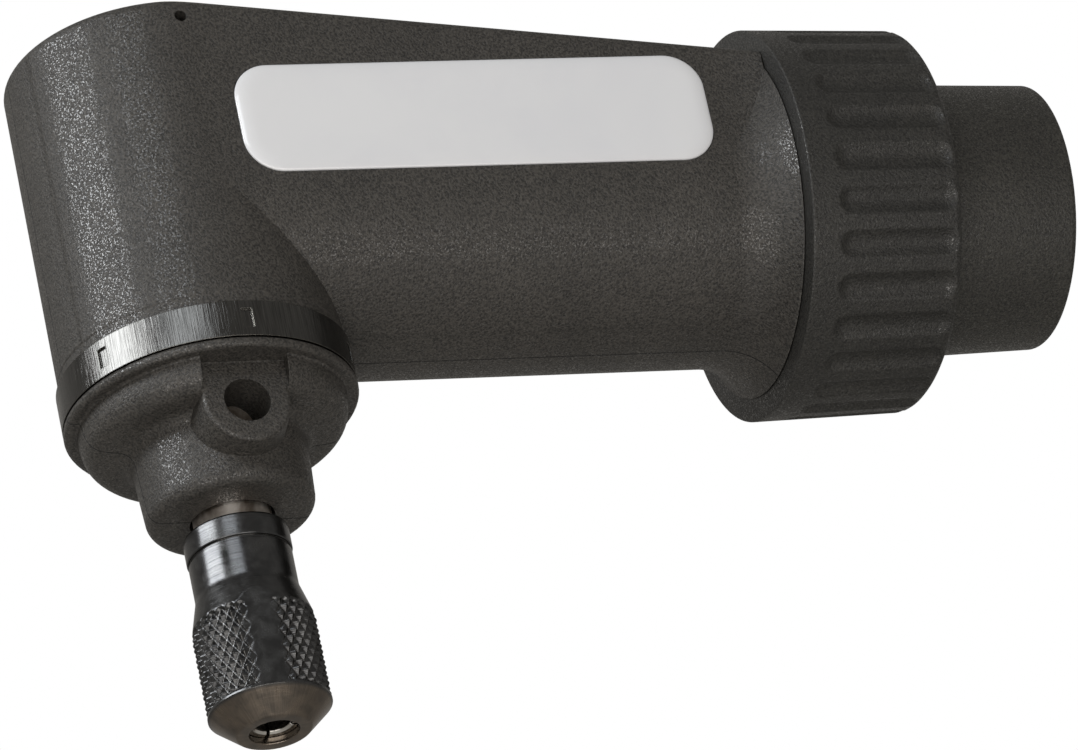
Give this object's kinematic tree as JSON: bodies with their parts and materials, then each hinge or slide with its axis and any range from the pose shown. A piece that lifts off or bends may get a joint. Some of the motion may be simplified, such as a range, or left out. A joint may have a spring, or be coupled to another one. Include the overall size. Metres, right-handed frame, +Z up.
{
  "type": "right angle attachment",
  "caption": "Right angle attachment for a rotary tool: a geared head turns the drive through a right angle to a small collet, behind a ribbed coupling ring.",
  "frame": {"origin": "centre of the threaded sleeve's mouth", "axes": "+X along the input axis, out of the sleeve towards the tool; +Z up, with the output spindle pointing down along -Z; the badge is on the -Y side"},
  "size_m": [0.0947, 0.0356, 0.0669],
  "materials": {
    "moulded_black": "satin, fine grained",
    "badge_white": "gloss, domed",
    "band_metal": "dark polished",
    "bright_steel": "turned",
    "dark_steel": "blackened",
    "gear_steel": "cut",
    "black_oxide": "black oxide",
    "brass_cage": "stamped"
  },
  "bodies": {
    "sleeve": {"threaded_sleeve": "moulded_black"},
    "ring": {"coupling_ring": "moulded_black"},
    "head": {"housing_front": "moulded_black", "housing_rear": "moulded_black", "casing_screws": "dark_steel", "badge": "badge_white", "nose_band": "band_metal", "head_bearing_outer_race": "bright_steel", "tail_bearing_outer_race": "bright_steel", "lower_bearing_outer_race": "bright_steel", "upper_bearing_outer_race": "bright_steel"},
    "drive": {"drive_shaft": "bright_steel", "drive_gear": "gear_steel", "drive_shaft_clip": "dark_steel", "head_bearing_inner_race": "bright_steel", "tail_bearing_inner_race": "bright_steel"},
    "output": {"spindle": "bright_steel", "spindle_gear": "gear_steel", "spindle_spacer": "bright_steel", "spindle_clip": "dark_steel", "collet": "bright_steel", "lower_bearing_inner_race": "bright_steel", "upper_bearing_inner_race": "bright_steel"},
    "nut": {"collet_nut": "black_oxide"},
    "head_cage": {"head_bearing_cage": "brass_cage", "head_bearing_balls": "bright_steel"},
    "tail_cage": {"tail_bearing_cage": "brass_cage", "tail_bearing_balls": "bright_steel"},
    "lower_cage": {"lower_bearing_cage": "brass_cage", "lower_bearing_balls": "bright_steel"},
    "upper_cage": {"upper_bearing_cage": "brass_cage", "upper_bearing_balls": "bright_steel"}
  },
  "joints": [
    {"name": "coupling_ring_turn", "type": "hinge", "parent": "sleeve", "child": "ring", "pos_m": [-0.0815, 0, 0], "axis": [1, 0, 0], "range_deg": [0, 360]},
    {"name": "head_swivel", "type": "hinge", "parent": "sleeve", "child": "head", "pos_m": [-0.0815, 0, 0], "axis": [1, 0, 0], "range_deg": [-180, 180]},
    {"name": "drive_spin", "type": "hinge", "parent": "head", "child": "drive", "pos_m": [-0.0815, 0, 0], "axis": [1, 0, 0], "continuous": true},
    {"name": "spindle_spin", "type": "hinge", "parent": "head", "child": "output", "pos_m": [-0.0815, 0, 0], "axis": [0, 0, 1], "continuous": true},
    {"name": "collet_nut_turn", "type": "hinge", "parent": "output", "child": "nut", "pos_m": [-0.0815, 0, 0], "axis": [0, 0, 1], "range_deg": [0, 360]},
    {"name": "head_bearing_cage_spin", "type": "hinge", "parent": "head", "child": "head_cage", "pos_m": [-0.0815, 0, 0], "axis": [1, 0, 0], "continuous": true},
    {"name": "tail_bearing_cage_spin", "type": "hinge", "parent": "head", "child": "tail_cage", "pos_m": [-0.0815, 0, 0], "axis": [1, 0, 0], "continuous": true},
    {"name": "lower_bearing_cage_spin", "type": "hinge", "parent": "head", "child": "lower_cage", "pos_m": [-0.0815, 0, 0], "axis": [0, 0, 1], "continuous": true},
    {"name": "upper_bearing_cage_spin", "type": "hinge", "parent": "head", "child": "upper_cage", "pos_m": [-0.0815, 0, 0], "axis": [0, 0, 1], "continuous": true}
  ],
  "couplings": [
    {"joint": "spindle_spin", "follows": "drive_spin", "ratio": 1},
    {"joint": "head_bearing_cage_spin", "follows": "drive_spin", "ratio": 0.3857},
    {"joint": "tail_bearing_cage_spin", "follows": "drive_spin", "ratio": 0.3857},
    {"joint": "lower_bearing_cage_spin", "follows": "drive_spin", "ratio": 0.4083},
    {"joint": "upper_bearing_cage_spin", "follows": "drive_spin", "ratio": 0.4}
  ]
}
